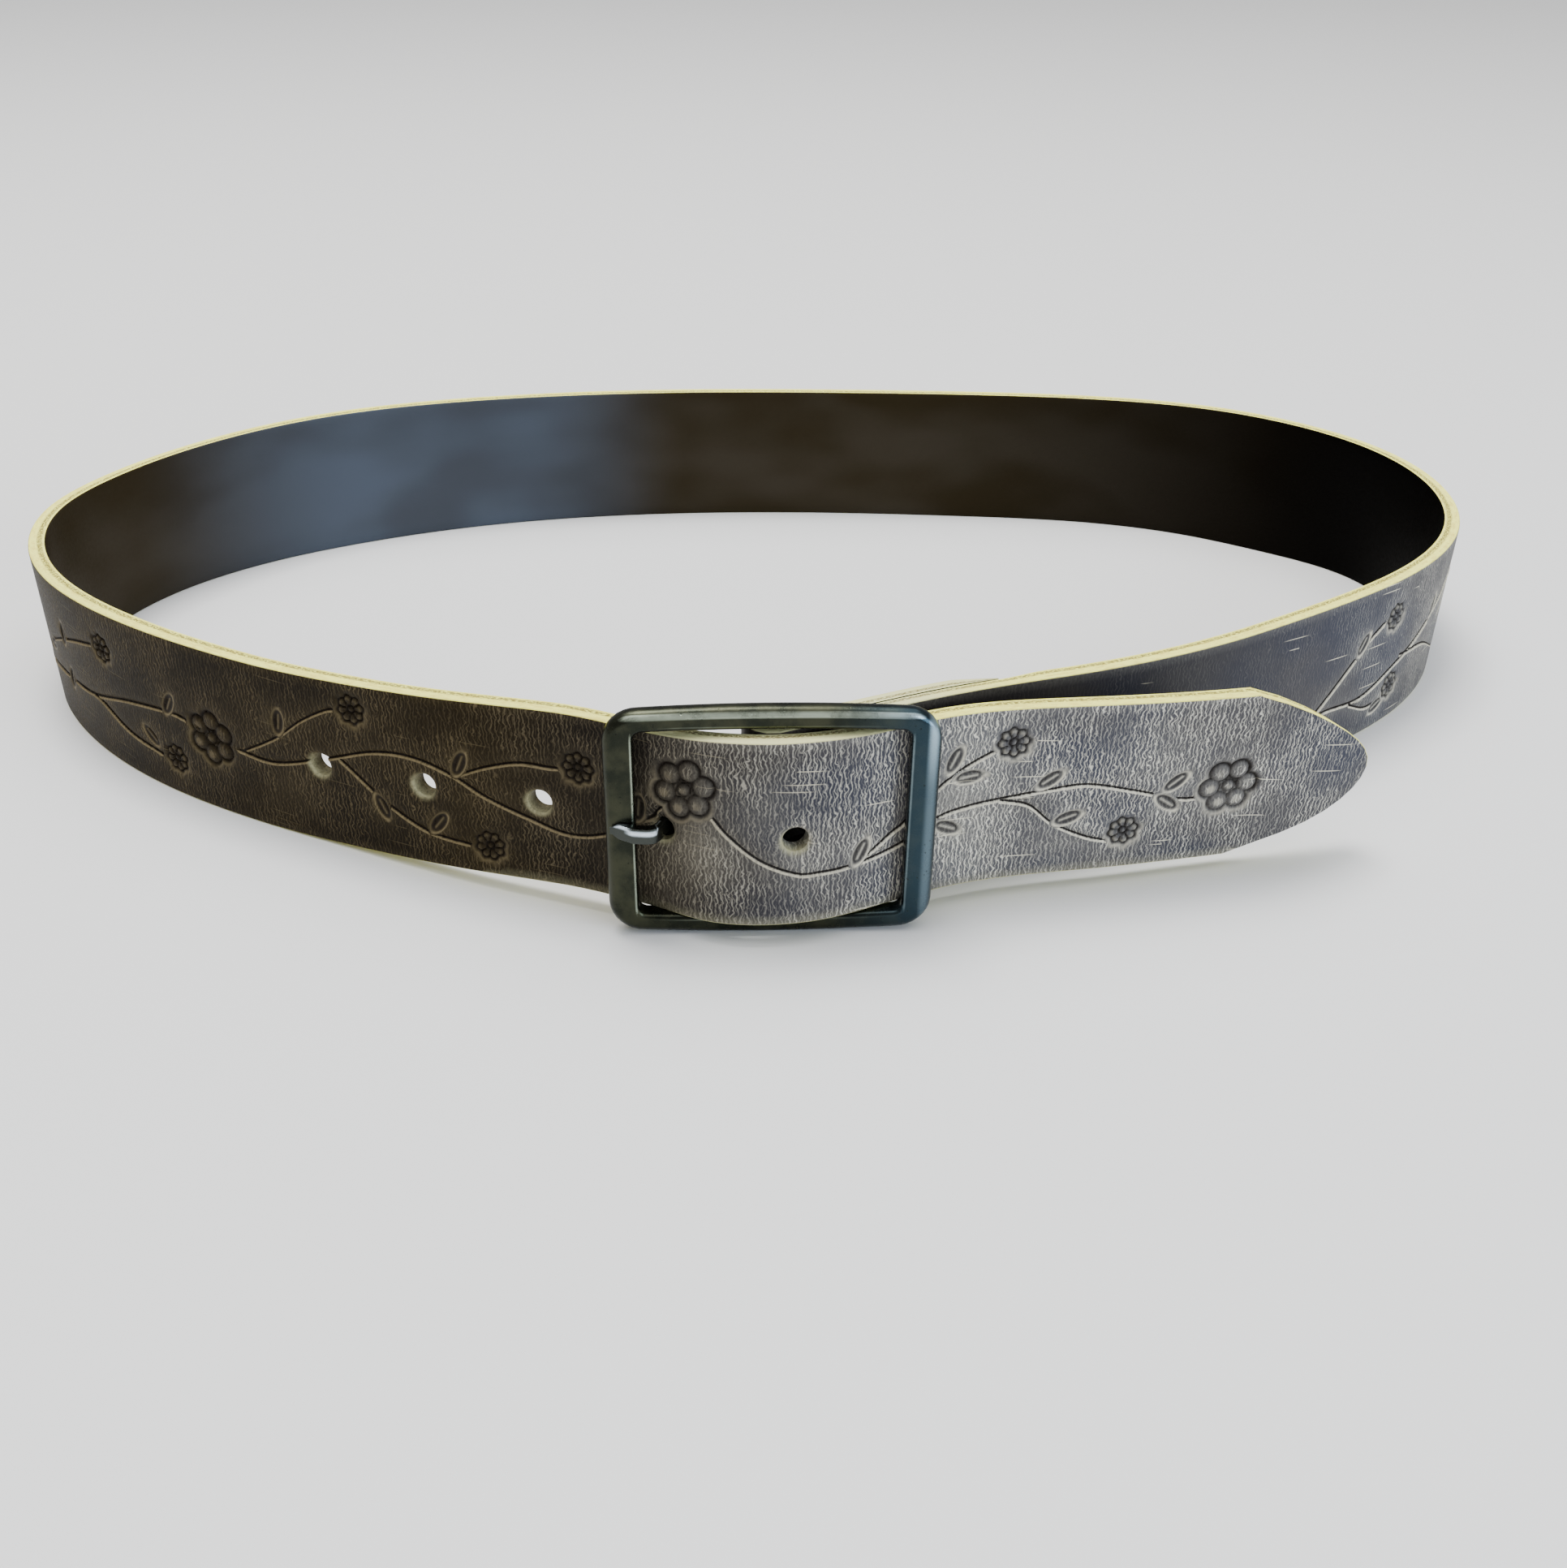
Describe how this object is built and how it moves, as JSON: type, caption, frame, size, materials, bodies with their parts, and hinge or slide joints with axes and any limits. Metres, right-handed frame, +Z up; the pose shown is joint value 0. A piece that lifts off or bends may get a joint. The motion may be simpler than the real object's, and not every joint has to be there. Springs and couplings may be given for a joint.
{
  "type": "western tooled leather belt",
  "caption": "Fastened tooled leather belt standing on its edge as a closed waist loop, with punched holes, a framed centre-bar buckle and a pointed free end.",
  "frame": {"origin": "on the ground under the middle of the belt's outer box", "axes": "+Z up; the buckle faces -Y and its rails run along X, with the free end pointing to +X; the waist loop opens along Z"},
  "size_m": [0.3532, 0.2308, 0.0483],
  "materials": {
    "leather": "thick vegetable-tanned leather, dark brown and distressed, hand tooled, satin",
    "buckle_metal": "cast, antiqued dark, satin",
    "prong_metal": "worn dark steel with bright edges"
  },
  "bodies": {
    "root": {"strap": "leather", "buckle_frame": "buckle_metal", "prong": "prong_metal", "fold_rivet_near": "buckle_metal", "fold_rivet_far": "buckle_metal"}
  },
  "joints": []
}
